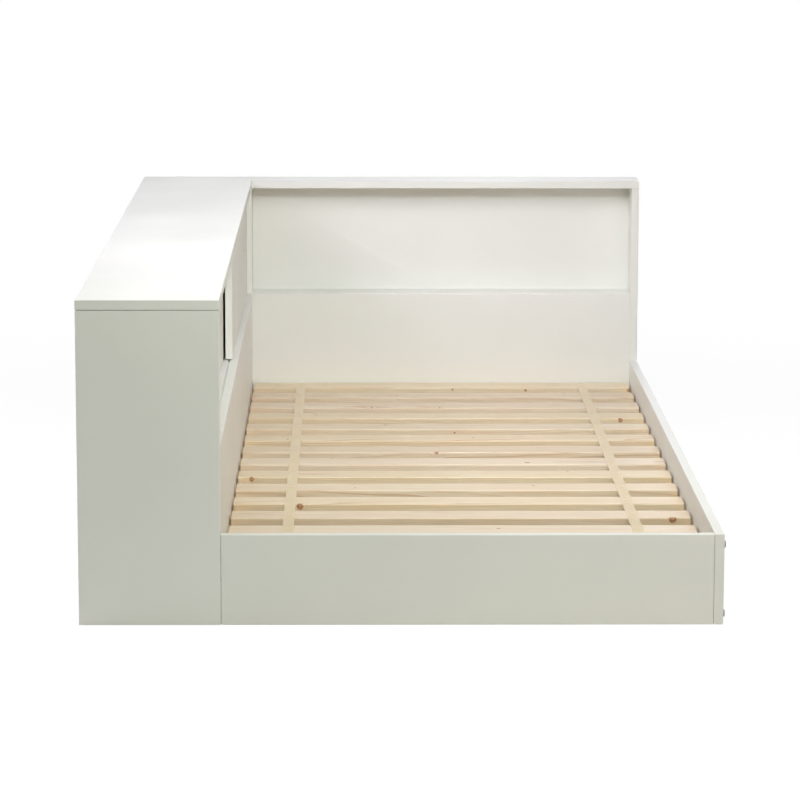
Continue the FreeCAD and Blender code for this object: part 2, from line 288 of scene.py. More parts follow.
@dataclass(frozen=True)
class Knot:
    """One knot in a pine board, in millimetres from the board's middle."""

    along: float
    across: float
    height: float
    radius: float = 5.0
    dark: bool = True


@dataclass(frozen=True)
class PlanedPine(Finish):
    """Nordic pine, planed and left bare.

    The growth rings run round a pith that lies outside the board, so they show
    as long arches on the wide faces and as lines on the edges.  Bare pine is
    pale cream between the rings and orange brown in them, with darker knots.
    """

    middle_mm: tuple[float, float, float] = (0.0, 0.0, 0.0)
    pith_mm: tuple[float, float] = (10.0, -55.0)
    contrast: float = 1.0
    tilt: tuple[float, float] = (0.012, 0.018)
    ring_mm: float = 4.2
    waviness_mm: float = 9.0
    early: str = "#E9D8B8"
    late: str = "#C49761"
    blush: str = "#E6CDAC"
    # how many times a pattern changes in a millimetre, along and across the grain
    drift_per_mm: tuple[float, float, float] = (0.0035, 0.014, 0.014)
    blush_per_mm: tuple[float, float, float] = (0.004, 0.03, 0.03)
    fibre_per_mm: tuple[float, float, float] = (0.012, 0.55, 0.55)
    fibre_depth_mm: float = 0.08
    fibre_strength: float = 0.3
    early_roughness: float = 0.46
    late_roughness: float = 0.36
    ior: float = 1.5
    knots: tuple[Knot, ...] = ()
    knot_core: float = 0.78
    knot_tear: float = 1.8
    knot_bend: float = 1.3
    knot_cover: float = 0.94
    amber: str = "#CFA271"
    halo: str = "#E0C39B"

    def rings(
        self, tree: bpy.types.NodeTree, place: bpy.types.NodeSocket
    ) -> tuple[bpy.types.NodeSocket, bpy.types.NodeSocket]:
        """Lay out the growth rings.

        Args:
            tree: The material's node tree.
            place: Object coordinates.

        Returns:
            Distance from the pith in millimetres, and the place in millimetres
            turned to the grain.
        """
        turn = Euler((0.0, self.tilt[0], self.tilt[1])).to_matrix()
        shift = turn @ -Vector(self.middle_mm) - Vector((0.0, *self.pith_mm))
        grain = add_node(
            tree,
            "ShaderNodeMapping",
            {
                "Vector": place,
                "Location": shift,
                "Rotation": Euler((0.0, *self.tilt)),
                "Scale": Vector((PER_METRE,) * 3),
            },
        ).outputs[0]
        slow = add_node(
            tree,
            "ShaderNodeVectorMath",
            {0: grain, 1: self.drift_per_mm},
            operation="MULTIPLY",
        ).outputs[0]
        wander = add_node(
            tree, "ShaderNodeTexNoise", {"Vector": slow, "Scale": 1.0, "Detail": 2.0}
        ).outputs[1]
        amount = self.waviness_mm
        drift = add_node(
            tree,
            "ShaderNodeVectorMath",
            {0: wander, 1: (0.0, amount, amount), 2: (0.0, -amount / 2, -amount / 2)},
            operation="MULTIPLY_ADD",
        ).outputs[0]
        section = add_node(
            tree,
            "ShaderNodeVectorMath",
            {0: grain, 1: (0.0, 1.0, 1.0), 2: drift},
            operation="MULTIPLY_ADD",
        ).outputs[0]
        distance = add_node(
            tree, "ShaderNodeVectorMath", {0: section}, operation="LENGTH"
        ).outputs[1]
        return distance, grain

    def knot_distance(
        self, tree: bpy.types.NodeTree, place: bpy.types.NodeSocket, knot: Knot
    ) -> bpy.types.NodeSocket:
        """Measure how far a point lies from a knot, in knot radii.

        Args:
            tree: The material's node tree.
            place: Object coordinates.
            knot: The knot.

        Returns:
            The distance, 1 at the knot's rim.
        """
        centre = Vector(self.middle_mm) + Vector((knot.along, knot.across, knot.height))
        radius = knot.radius * self.knot_core
        local = add_node(
            tree,
            "ShaderNodeMapping",
            {
                "Vector": place,
                "Location": -centre / radius,
                "Scale": Vector((PER_METRE / radius,) * 3),
            },
        ).outputs[0]
        ragged = add_node(
            tree,
            "ShaderNodeTexNoise",
            {"Vector": local, "W": knot.along, "Scale": 1.5, "Detail": 4.0, "Roughness": 0.7},
            noise_dimensions="4D",
        ).outputs[1]
        torn = add_node(
            tree,
            "ShaderNodeVectorMath",
            {0: ragged, 1: (self.knot_tear,) * 3, 2: local},
            operation="MULTIPLY_ADD",
        ).outputs[0]
        centred = add_node(
            tree,
            "ShaderNodeVectorMath",
            {0: torn, 1: (self.knot_tear / 2,) * 3},
            operation="SUBTRACT",
        ).outputs[0]
        return add_node(
            tree, "ShaderNodeVectorMath", {0: centred}, operation="LENGTH"
        ).outputs[1]

    def build(self) -> bpy.types.Material:
        """Return the board's pine as a material."""
        material, tree = self.begin()
        place = add_node(tree, "ShaderNodeTexCoord").outputs["Object"]
        distance, grain = self.rings(tree, place)
        knots = [(knot, self.knot_distance(tree, place, knot)) for knot in self.knots]
        for knot, away in knots:
            bend = add_node(
                tree,
                "ShaderNodeMapRange",
                {
                    "Value": away,
                    "From Min": 0.6,
                    "From Max": 4.2,
                    "To Min": knot.radius * self.knot_bend,
                    "To Max": 0.0,
                },
                interpolation_type="SMOOTHSTEP",
            )
            distance = add_node(
                tree, "ShaderNodeMath", {0: distance, 1: bend.outputs[0]}, operation="ADD"
            ).outputs[0]
        turns = add_node(
            tree, "ShaderNodeMath", {0: distance, 1: self.ring_mm}, operation="DIVIDE"
        )
        ring = add_node(tree, "ShaderNodeMath", {0: turns.outputs[0]}, operation="FRACT")
        ring_tone = add_node(tree, "ShaderNodeValToRGB", {0: ring.outputs[0]})
        set_stops(
            ring_tone.color_ramp,
            [(0.0, self.early), (0.55, self.early), (0.86, self.late), (0.94, self.early)],
        )
        year = add_node(
            tree,
            "ShaderNodeTexNoise",
            {"W": turns.outputs[0], "Scale": 0.33, "Detail": 1.0},
            noise_dimensions="1D",
        )
        strength = add_node(
            tree,
            "ShaderNodeMapRange",
            {
                "Value": year.outputs[0],
                "From Min": 0.34,
                "From Max": 0.66,
                "To Min": 0.12,
                "To Max": self.contrast,
            },
        )
        plain = add_node(
            tree,
            "ShaderNodeMix",
            {0: strength.outputs[0], 6: linear(self.early), 7: ring_tone.outputs[0]},
            data_type="RGBA",
        )
        patches = add_node(
            tree,
            "ShaderNodeTexNoise",
            {
                "Vector": add_node(
                    tree,
                    "ShaderNodeVectorMath",
                    {0: grain, 1: self.blush_per_mm},
                    operation="MULTIPLY",
                ).outputs[0],
                "Scale": 1.0,
                "Detail": 2.0,
            },
        )
        patch = add_node(
            tree,
            "ShaderNodeMapRange",
            {"Value": patches.outputs[0], "From Min": 0.38, "From Max": 0.66, "To Max": 0.55},
        )
        warm = add_node(
            tree,
            "ShaderNodeMix",
            {0: patch.outputs[0], 6: plain.outputs[2], 7: linear(self.blush)},
            data_type="RGBA",
        )
        fibres = add_node(
            tree,
            "ShaderNodeTexNoise",
            {
                "Vector": add_node(
                    tree,
                    "ShaderNodeVectorMath",
                    {0: grain, 1: self.fibre_per_mm},
                    operation="MULTIPLY",
                ).outputs[0],
                "Scale": 1.0,
                "Detail": 4.0,
                "Roughness": 0.62,
            },
        )
        fibre = add_node(
            tree,
            "ShaderNodeMapRange",
            {
                "Value": fibres.outputs[0],
                "From Min": 0.3,
                "From Max": 0.7,
                "To Min": 0.9,
                "To Max": 1.05,
            },
        )
        colour = add_node(
            tree,
            "ShaderNodeVectorMath",
            {0: warm.outputs[2], "Scale": fibre.outputs[0]},
            operation="SCALE",
        ).outputs[0]
        for knot, away in knots:
            colour = self.draw_knot(tree, colour, knot, away)
        bump = add_node(
            tree,
            "ShaderNodeBump",
            {
                "Height": fibres.outputs[0],
                "Strength": self.fibre_strength,
                "Distance": self.fibre_depth_mm * MM,
            },
        )
        sheen = add_node(
            tree,
            "ShaderNodeMapRange",
            {
                "Value": ring.outputs[0],
                "To Min": self.early_roughness,
                "To Max": self.late_roughness,
            },
        )
        self.end(
            tree,
            {
                "Base Color": colour,
                "Roughness": sheen.outputs[0],
                "IOR": self.ior,
                "Normal": bump.outputs[0],
            },
        )
        return material

    def draw_knot(
        self,
        tree: bpy.types.NodeTree,
        colour: bpy.types.NodeSocket,
        knot: Knot,
        away: bpy.types.NodeSocket,
    ) -> bpy.types.NodeSocket:
        """Colour one knot and the amber wood round it.

        Args:
            tree: The material's node tree.
            colour: Colour of the wood without the knot.
            knot: The knot.
            away: Distance from the knot, in knot radii.

        Returns:
            The colour with the knot in it.
        """
        tones = add_node(
            tree,
            "ShaderNodeValToRGB",
            {
                0: add_node(
                    tree, "ShaderNodeMath", {0: away, 1: 0.5}, operation="MULTIPLY"
                ).outputs[0]
            },
        )
        heart = "#BE8B5C" if knot.dark else "#D0A16C"
        rim = "#865A38" if knot.dark else "#B5824F"
        set_stops(
            tones.color_ramp,
            [
                (0.0, rim),
                (0.06, heart),
                (0.24, heart),
                (0.34, rim),
                (0.42, rim),
                (0.54, self.amber),
                (1.0, self.halo),
            ],
        )
        cover = add_node(
            tree,
            "ShaderNodeMapRange",
            {
                "Value": away,
                "From Min": 0.85,
                "From Max": 1.5,
                "To Min": self.knot_cover,
                "To Max": 0.0,
            },
            interpolation_type="SMOOTHSTEP",
        )
        return add_node(
            tree,
            "ShaderNodeMix",
            {0: cover.outputs[0], 6: colour, 7: tones.outputs[0]},
            data_type="RGBA",
        ).outputs[2]


@dataclass(frozen=True)
class BattenPine(Finish):
    """Pine sawn into a long batten and planed: straight lines along its length.

    The slats' pine has its grain along X.  This one has it along Y, as a batten lies.
    """

    middle_mm: tuple[float, float, float] = (0.0, 0.0, 0.0)
    line_mm: float = 3.4
    lines_along: float = 6.0
    depth_mm: float = 0.1
    roughness: float = 0.58
    early: str = "#E6D4B3"
    late: str = "#C99F6C"

    def build(self) -> bpy.types.Material:
        """Return the batten's pine as a material."""
        material, tree = self.begin()
        place = add_node(tree, "ShaderNodeTexCoord").outputs["Object"]
        grain = add_node(
            tree,
            "ShaderNodeMapping",
            {
                "Vector": place,
                "Location": -Vector(self.middle_mm) / self.line_mm,
                "Rotation": Euler((0.01, 0.0, 0.006)),
                "Scale": Vector(
                    (PER_METRE / self.line_mm, self.lines_along, PER_METRE / self.line_mm)
                ),
            },
        )
        lines = add_node(
            tree,
            "ShaderNodeTexNoise",
            {"Vector": grain.outputs[0], "Scale": 1.0, "Detail": 3.0, "Roughness": 0.6},
        )
        share = add_node(
            tree,
            "ShaderNodeMapRange",
            {"Value": lines.outputs[0], "From Min": 0.4, "From Max": 0.68},
        )
        tone = add_node(
            tree,
            "ShaderNodeMix",
            {0: share.outputs[0], 6: linear(self.early), 7: linear(self.late)},
            data_type="RGBA",
        )
        bump = add_node(
            tree,
            "ShaderNodeBump",
            {"Height": lines.outputs[0], "Strength": 0.3, "Distance": self.depth_mm * MM},
        )
        self.end(
            tree,
            {
                "Base Color": tone.outputs[2],
                "Roughness": self.roughness,
                "Normal": bump.outputs[0],
            },
        )
        return material


@dataclass(frozen=True)
class SandedBeech(Finish):
    """Steamed beech, sawn and sanded: dark flecks along an even warm brown."""

    colour: str = "#C99F6E"
    fleck: str = "#A97C4D"
    fleck_mm: float = 1.6
    flecks_per_metre: float = 180.0
    roughness: float = 0.6

    def build(self) -> bpy.types.Material:
        """Return the beech as a material."""
        material, tree = self.begin()
        place = add_node(tree, "ShaderNodeTexCoord").outputs["Object"]
        stretched = add_node(
            tree,
            "ShaderNodeMapping",
            {
                "Vector": place,
                "Scale": Vector(
                    (self.flecks_per_metre, self.flecks_per_metre, PER_METRE / self.fleck_mm)
                ),
            },
        )
        flecks = add_node(
            tree,
            "ShaderNodeTexNoise",
            {"Vector": stretched.outputs[0], "Scale": 1.0, "Detail": 3.0},
        )
        share = add_node(
            tree,
            "ShaderNodeMapRange",
            {"Value": flecks.outputs[0], "From Min": 0.52, "From Max": 0.66},
        )
        tone = add_node(
            tree,
            "ShaderNodeMix",
            {0: share.outputs[0], 6: linear(self.colour), 7: linear(self.fleck)},
            data_type="RGBA",
        )
        self.end(tree, {"Base Color": tone.outputs[2], "Roughness": self.roughness})
        return material


@dataclass(frozen=True)
class WovenRibbon(Finish):
    """Woven polyester ribbon: fine raised ribs both ways, dull, with a trace of fuzz and painted
    shade between the ribs.
    """

    colour: str = "#EBDCBE"
    # darker tone, drawn in the hollows between the raised ribs: painted shade
    shade: str = "#E3D2B1"
    # threads are 0.5 mm apart and are drawn three times coarser
    rib_mm: float = 1.5
    rib_stretch: float = 0.8
    depth_mm: float = 0.12
    bump_strength: float = 0.4
    fuzz_per_metre: float = 90.0
    roughness: float = 0.82
    sheen_weight: float = 0.1
    sheen_roughness: float = 0.5

    def build(self) -> bpy.types.Material:
        """Return the ribbon as a material."""
        material, tree = self.begin()
        place = add_node(tree, "ShaderNodeTexCoord").outputs["Object"]
        ribs = PER_METRE / self.rib_mm / WAVE_BANDS
        across, along = (
            add_node(
                tree,
                "ShaderNodeTexWave",
                {"Vector": place, "Scale": scale, "Distortion": 0.4, "Detail": 1.0},
                bands_direction=direction,
            )
            for scale, direction in ((ribs, "Y"), (ribs * self.rib_stretch, "X"))
        )
        weave = add_node(
            tree,
            "ShaderNodeMath",
            {0: across.outputs[1], 1: along.outputs[1]},
            operation="MULTIPLY",
        )
        fuzz = add_node(
            tree,
            "ShaderNodeTexNoise",
            {"Vector": place, "Scale": self.fuzz_per_metre, "Detail": 3.0},
        )
        share = add_node(
            tree,
            "ShaderNodeMath",
            {0: weave.outputs[0], 1: 0.6, 2: fuzz.outputs[0]},
            operation="MULTIPLY_ADD",
        )
        level = add_node(
            tree,
            "ShaderNodeMapRange",
            {"Value": share.outputs[0], "From Min": 0.35, "From Max": 1.0},
        )
        # painted shade: darker where the weave is low, between the ribs, plus random tone from the
        # fuzz noise
        tone = add_node(
            tree,
            "ShaderNodeMix",
            {0: level.outputs[0], 6: linear(self.shade), 7: linear(self.colour)},
            data_type="RGBA",
        )
        bump = add_node(
            tree,
            "ShaderNodeBump",
            {
                "Height": weave.outputs[0],
                "Strength": self.bump_strength,
                "Distance": self.depth_mm * MM,
            },
        )
        self.end(
            tree,
            {
                "Base Color": tone.outputs[2],
                "Roughness": self.roughness,
                "Sheen Weight": self.sheen_weight,
                "Sheen Roughness": self.sheen_roughness,
                "Normal": bump.outputs[0],
            },
        )
        return material


@dataclass(frozen=True)
class MouldedPlastic(Finish):
    """White ABS moulded in a spark-eroded mould, which leaves it evenly matt and grainy."""

    colour: str = "#E3E3DF"
    shade: str = "#D8D8D3"
    grain_mm: float = 0.8
    grain_depth_mm: float = 0.02
    roughness: float = 0.48
    ior: float = 1.53

    def build(self) -> bpy.types.Material:
        """Return the plastic as a material."""
        material, tree = self.begin()
        place = add_node(tree, "ShaderNodeTexCoord").outputs["Object"]
        grit = add_node(
            tree,
            "ShaderNodeTexNoise",
            {"Vector": place, "Scale": PER_METRE / self.grain_mm, "Detail": 2.0},
        )
        tone = add_node(
            tree,
            "ShaderNodeMix",
            {0: grit.outputs[0], 6: linear(self.colour), 7: linear(self.shade)},
            data_type="RGBA",
        )
        bump = add_node(
            tree,
            "ShaderNodeBump",
            {
                "Height": grit.outputs[0],
                "Strength": 0.3,
                "Distance": self.grain_depth_mm * MM,
            },
        )
        self.end(
            tree,
            {
                "Base Color": tone.outputs[2],
                "Roughness": self.roughness,
                "IOR": self.ior,
                "Normal": bump.outputs[0],
            },
        )
        return material


@dataclass(frozen=True)
class BareMetal(Finish):
    """Small metal fitting: bright high spots, duller and darker in the patches.

    The patches are those of barrel plating on steel, or of the skin that
    die-cast zinc gets in its mould.
    """

    colour: str = "#C4C5C6"
    dull: str = "#9FA0A1"
    patch_mm: float = 3.0
    roughness: float = 0.32
    roughness_range: tuple[float, float] = (-0.08, 0.12)

    def build(self) -> bpy.types.Material:
        """Return the metal as a material."""
        material, tree = self.begin()
        place = add_node(tree, "ShaderNodeTexCoord").outputs["Object"]
        patches = add_node(
            tree,
            "ShaderNodeTexNoise",
            {
                "Vector": place,
                "Scale": PER_METRE / self.patch_mm,
                "Detail": 4.0,
                "Roughness": 0.6,
            },
        )
        tone = add_node(
            tree,
            "ShaderNodeMix",
            {0: patches.outputs[0], 6: linear(self.colour), 7: linear(self.dull)},
            data_type="RGBA",
        )
        sheen = add_node(
            tree,
            "ShaderNodeMapRange",
            {
                "Value": patches.outputs[0],
                "From Min": 0.3,
                "From Max": 0.7,
                "To Min": self.roughness + self.roughness_range[0],
                "To Max": self.roughness + self.roughness_range[1],
            },
        )
        self.end(
            tree,
            {"Base Color": tone.outputs[2], "Metallic": 1.0, "Roughness": sheen.outputs[0]},
        )
        return material


# ---- modelling --------------------------------------------------------------


class Bench:
    """Blender's own modelling tools, each used on one piece at a time."""

    merge_distance = 1e-5
    flat_degrees = 0.5
    corner_degrees = 30.0
    # a corner's vertices lie within the broken edge of the board's outline, or just past it
    outline_reach = 1.1

    @staticmethod
    def only(piece: bpy.types.Object) -> None:
        """Select one piece and nothing else."""
        for other in bpy.context.view_layer.objects:
            other.select_set(False)
        piece.select_set(True)
        bpy.context.view_layer.objects.active = piece

    @staticmethod
    def settle(piece: bpy.types.Object, name: str) -> bpy.types.Object:
        """Name a new primitive and put its place into its mesh.

        Args:
            piece: The primitive just added.
            name: Its name.

        Returns:
            The same piece, with its object at the origin.
        """
        piece.name = name
        piece.data.name = name
        Bench.only(piece)
        bpy.ops.object.transform_apply(location=True, rotation=True, scale=True)
        return piece

    @staticmethod
    def box(name: str, low: Vector, high: Vector) -> bpy.types.Object:
        """Add a block between two corners, ready to be shaped."""
        bpy.ops.object.select_all(action="DESELECT")
        bpy.ops.mesh.primitive_cube_add(size=1.0, location=(low + high) / 2)
        bpy.context.object.scale = high - low
        return Bench.settle(bpy.context.object, name)

    @staticmethod
    def disc(
        name: str, radius: float, low: float, high: float, sides: int
    ) -> bpy.types.Object:
        """Add an upright round body about the Z axis, from one height to another."""
        bpy.ops.object.select_all(action="DESELECT")
        bpy.ops.mesh.primitive_cylinder_add(
            vertices=sides, radius=radius, depth=high - low, location=(0, 0, (low + high) / 2)
        )
        return Bench.settle(bpy.context.object, name)

    @staticmethod
    def top_rim(height: float) -> Callable[[Vector, Vector], bool]:
        """Return the test that picks the round edges at the top of an upright body."""
        return (
            lambda one, two: min(one.z, two.z) > height - SAME_PLACE
            and abs(one.xy.length - two.xy.length) < SAME_PLACE
        )

    @staticmethod
    def pick_edges(piece: bpy.types.Object, wanted: Callable[[Vector, Vector], bool]) -> None:
        """Enter edit mode with some edges selected.

        Args:
            piece: The piece to work on.
            wanted: Test of an edge's two ends.
        """
        Bench.only(piece)
        bpy.ops.object.mode_set(mode="EDIT")
        bpy.ops.mesh.select_mode(type="EDGE")
        bpy.ops.mesh.select_all(action="DESELECT")
        work = bmesh.from_edit_mesh(piece.data)
        for edge in work.edges:
            if wanted(edge.verts[0].co, edge.verts[1].co):
                edge.select_set(True)
        bmesh.update_edit_mesh(piece.data)

    @staticmethod
    def pick_faces(piece: bpy.types.Object, wanted: Callable[[Vector, Vector], bool]) -> None:
        """Enter edit mode with some faces selected.

        Args:
            piece: The piece to work on.
            wanted: Test of a face's centre and normal.
        """
        Bench.only(piece)
        bpy.ops.object.mode_set(mode="EDIT")
        bpy.ops.mesh.select_mode(type="FACE")
        bpy.ops.mesh.select_all(action="DESELECT")
        work = bmesh.from_edit_mesh(piece.data)
        for face in work.faces:
            if wanted(face.calc_center_median(), face.normal):
                face.select_set(True)
        bmesh.update_edit_mesh(piece.data)

    @staticmethod
    def leave() -> None:
        """Go back to object mode."""
        bpy.ops.object.mode_set(mode="OBJECT")

    @staticmethod
    def bevel(
        piece: bpy.types.Object,
        width: float,
        segments: int,
        wanted: Callable[[Vector, Vector], bool],
    ) -> None:
        """Round some edges.

        Args:
            piece: The piece to work on.
            width: How far the rounding reaches from the edge.
            segments: Number of facets across it.
            wanted: Test of an edge's two ends.
        """
        Bench.pick_edges(piece, wanted)
        bpy.ops.mesh.bevel(offset=width, offset_type="OFFSET", segments=segments, affect="EDGES")
        Bench.leave()

    @staticmethod
    def modify(piece: bpy.types.Object, kind: str, **settings: Any) -> None:
        """Add one modifier and apply it."""
        Bench.only(piece)
        modifier = piece.modifiers.new(kind.lower(), kind)
        for name, value in settings.items():
            setattr(modifier, name, value)
        bpy.ops.object.modifier_apply(modifier=modifier.name)

    @staticmethod
    def carve(piece: bpy.types.Object, cutter: bpy.types.Object) -> None:
        """Cut one piece out of another and throw the cutter away."""
        Bench.modify(piece, "BOOLEAN", object=cutter, operation="DIFFERENCE", solver="EXACT")
        bpy.data.objects.remove(cutter)

    @staticmethod
    def copy(piece: bpy.types.Object, name: str, move: Matrix) -> bpy.types.Object:
        """Copy a piece with its own mesh and move the mesh.

        Args:
            piece: The piece to copy.
            name: Name of the copy.
            move: Where the copy's mesh goes.

        Returns:
            The copy, with its object at the origin.
        """
        twin = bpy.data.objects.new(name, piece.data.copy())
        twin.data.name = name
        twin.data.transform(move)
        bpy.context.scene.collection.objects.link(twin)
        return twin

    @staticmethod
    def eased_copy(
        source: bpy.types.Object, name: str, chamfer: float, easing: float
    ) -> bpy.types.Object:
        """Copy a board's solid, merge its loose triangles and round its outline's edges.

        Args:
            source: The solid's object.
            name: Name of the copy.
            chamfer: Width of the broken edges that the solid has.
            easing: How far the rounding reaches.

        Returns:
            The copy, with its bores and grooves as they were.
        """
        piece = Bench.copy(source, name, Matrix.Identity(4))
        Bench.only(piece)
        bpy.ops.object.mode_set(mode="EDIT")
        bpy.ops.mesh.select_mode(type="EDGE")
        bpy.ops.mesh.select_all(action="SELECT")
        bpy.ops.mesh.remove_doubles(threshold=Bench.merge_distance)
        bpy.ops.mesh.dissolve_limited(angle_limit=math.radians(Bench.flat_degrees))
        bpy.ops.mesh.select_all(action="DESELECT")
        work = bmesh.from_edit_mesh(piece.data)
        bounds = [
            (axis, limit(vertex.co[axis] for vertex in work.verts))
            for axis in range(3)
            for limit in (min, max)
        ]
        corner = math.radians(Bench.corner_degrees)
        reach = Bench.outline_reach * chamfer
        for edge in work.edges:
            if len(edge.link_faces) != 2 or edge.calc_face_angle() < corner:
                continue
            sides = sum(
                all(abs(vertex.co[axis] - bound) < reach for vertex in edge.verts)
                for axis, bound in bounds
            )
            edge.select_set(sides >= 2 and edge.is_convex)
        bmesh.update_edit_mesh(piece.data)
        bpy.ops.mesh.bevel(
            offset=easing, offset_type="OFFSET", segments=2, affect="EDGES", clamp_overlap=True
        )
        Bench.leave()
        return piece

    @staticmethod
    def join(pieces: Sequence[bpy.types.Object], name: str) -> bpy.types.Object:
        """Make one object of several."""
        Bench.only(pieces[0])
        for piece in pieces:
            piece.select_set(True)
        bpy.ops.object.join()
        pieces[0].name = name
        pieces[0].data.name = name
        return pieces[0]

    @staticmethod
    def hand_over(
        piece: bpy.types.Object,
        material: bpy.types.Material,
        body: Body,
        slot: Slot,
        smooth_degrees: float = 40.0,
    ) -> bpy.types.Object:
        """Finish a piece: shading, material and body.

        Args:
            piece: The modelled piece.
            material: Its finish.
            body: The body that it rides on.
            slot: The record's slot of its finish; not used.
            smooth_degrees: Edges flatter than this are shaded smooth.

        Returns:
            The same piece.
        """
        Bench.only(piece)
        bpy.ops.object.shade_smooth_by_angle(angle=math.radians(smooth_degrees))
        Bench.modify(piece, "WEIGHTED_NORMAL", keep_sharp=True)
        piece.data.materials.clear()
        piece.data.materials.append(material)
        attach(piece, body.value)
        faces = len(piece.data.polygons)
        LOG.info("piece %s on %s, %d faces", piece.name, body.value, faces)
        return piece


def turned_to(seat: Vector, axis: Vector) -> Matrix:
    """Return the move from the Z axis at the origin to a seat and an axis."""
    return Matrix.Translation(seat) @ axis.to_track_quat("Z", "Y").to_matrix().to_4x4()


def dress(
    nodes: Mapping[str, bpy.types.Object], names: Sequence[str], finish: bpy.types.Material
) -> None:
    """Give solids of the frame their finish.

    Args:
        nodes: The frame's objects by node name.
        names: The nodes to dress.
        finish: Their material.
    """
    for name in names:
        mesh = nodes[name].data
        mesh.materials.clear()
        mesh.materials.append(finish)
        LOG.info("node %s in %s", name, finish.name)


# ---- sub-assemblies ---------------------------------------------------------


@dataclass
class Boards:
    """The lacquered boards: cabinet carcase, doors, headboard, foot board and rail.

    The primer and lacquer round the sharp corners of the chamfers, so each
    board is a copy of its solid with eased edges, which catch a thin line of light.
    """

    nodes: Mapping[str, bpy.types.Object]
    chamfer: float = 1.2 * MM
    easing: float = 0.45 * MM
    cabinet: tuple[str, ...] = (
        "cabinet_front_end",
        "cabinet_rear_end",
        "cabinet_top",
        "cabinet_outer_panel",
        "cabinet_lower_wall",
        "cabinet_shelf",
        "cabinet_jamb",
        "cabinet_partition",
        "cabinet_divider",
        "cabinet_lower_support_1",
        "cabinet_lower_support_2",
    )
    headboard: tuple[str, ...] = (
        "headboard_lower_panel",
        "headboard_ledge",
        "headboard_back",
        "headboard_cap",
        "headboard_upright",
    )
    frame: tuple[str, ...] = ("foot_board", "side_rail")
    doors: Mapping[str, Body] = field(
        default_factory=lambda: {"front_door": Body.FRONT_DOOR, "rear_door": Body.REAR_DOOR}
    )
    seam_depth: float = 9.0 * MM
    top_seam: float = 1.1 * MM
    foot_seam: float = 0.7 * MM

    def open_seam(self, board: bpy.types.Object, axis: int, side: int, width: float) -> None:
        """Cut the dark line of a butt joint into a board's edge, as deep as light reaches.

        Args:
            board: The board, seen from the foot of the bed.
            axis: Axis across the seam.
            side: -1 for the board's low edge and 1 for its high edge.
            width: Width of the line.
        """
        low = Vector(min(vertex.co[at] for vertex in board.data.vertices) for at in range(3))
        high = Vector(max(vertex.co[at] for vertex in board.data.vertices) for at in range(3))
        over = Vector((MM,) * 3)
        start, end = low - over, high + over
        end.y = low.y + self.seam_depth
        if side > 0:
            start[axis] = high[axis] - width
        else:
            end[axis] = low[axis] + width
        Bench.carve(board, Bench.box("seam", start, end))

    def build(self) -> None:
        """Make and lacquer every board."""
        seams = {
            "cabinet_front_end": ((2, 1, self.top_seam),),
            "foot_board": ((0, -1, self.foot_seam), (0, 1, self.foot_seam)),
        }
        lacquer = SatinLacquer("satin_lacquer").build()
        bodies = dict.fromkeys(self.cabinet + self.headboard + self.frame, Body.FRAME)
        for node, body in (bodies | dict(self.doors)).items():
            board = Bench.eased_copy(
                self.nodes[node], f"lacquered_{node}", self.chamfer, self.easing
            )
            for seam in seams.get(node, ()):
                self.open_seam(board, *seam)
            Bench.hand_over(board, lacquer, body, Slot.LACQUER)
            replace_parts(board, node)


@dataclass
class DoorHardware:
    """Track, glides and the moulded finger cups of the two sliding doors."""

    nodes: Mapping[str, bpy.types.Object]
    cup_radius: float = 14.9 * MM
    cup_depth: float = 7.6 * MM
    wall: float = 1.3 * MM
    flange_radius: float = 17.0 * MM
    flange_height: float = 0.9 * MM
    rim_radius: float = 0.35 * MM
    floor_inset: float = 1.2 * MM
    floor_step: float = 0.4 * MM
    cup_sides: int = 64
    setback: float = 60.0 * MM

    def model_cup(self, name: str) -> bpy.types.Object:
        """Model a round cup with a flat flange, open along +Z at the door's face."""
        top = self.flange_height
        cup = Bench.disc(name, self.flange_radius, 0.0, top, self.cup_sides)
        Bench.pick_faces(cup, lambda centre, normal: normal.z > 0.9)
        bpy.ops.mesh.inset(thickness=self.flange_radius - self.cup_radius + self.wall, depth=0)
        bpy.ops.mesh.extrude_region_move(
            TRANSFORM_OT_translate={"value": (0, 0, -self.cup_depth + self.wall - top)}
        )
        bpy.ops.mesh.inset(thickness=self.floor_inset, depth=-self.floor_step)
        Bench.pick_faces(
            cup, lambda centre, normal: normal.z < -0.9 and abs(centre.z) < SAME_PLACE
        )
        bpy.ops.mesh.inset(thickness=self.flange_radius - self.cup_radius, depth=0)
        bpy.ops.mesh.extrude_region_move(
            TRANSFORM_OT_translate={"value": (0, 0, -self.cup_depth)}
        )
        Bench.leave()
        Bench.bevel(cup, self.rim_radius, 3, Bench.top_rim(top))
        return cup

    def build(self) -> None:
        """Dress the track and the glides, and set a cup into each door."""
        plastic = MouldedPlastic("moulded_abs").build()
        dress(self.nodes, ("door_track", "front_door_glides", "rear_door_glides"), plastic)
        cup = self.model_cup("finger_cup")
        for node, body, toward_end in (
            ("front_door", Body.FRONT_DOOR, 1),
            ("rear_door", Body.REAR_DOOR, -1),
        ):
            low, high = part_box(node)
            along = high.y - self.setback if toward_end > 0 else low.y + self.setback
            seat = Vector((high.x, along, (low.z + high.z) / 2))
            piece = Bench.copy(cup, f"{node}_finger_cup", turned_to(seat, Vector((1, 0, 0))))
            Bench.hand_over(piece, plastic, body, Slot.PLASTIC)
        bpy.data.objects.remove(cup)


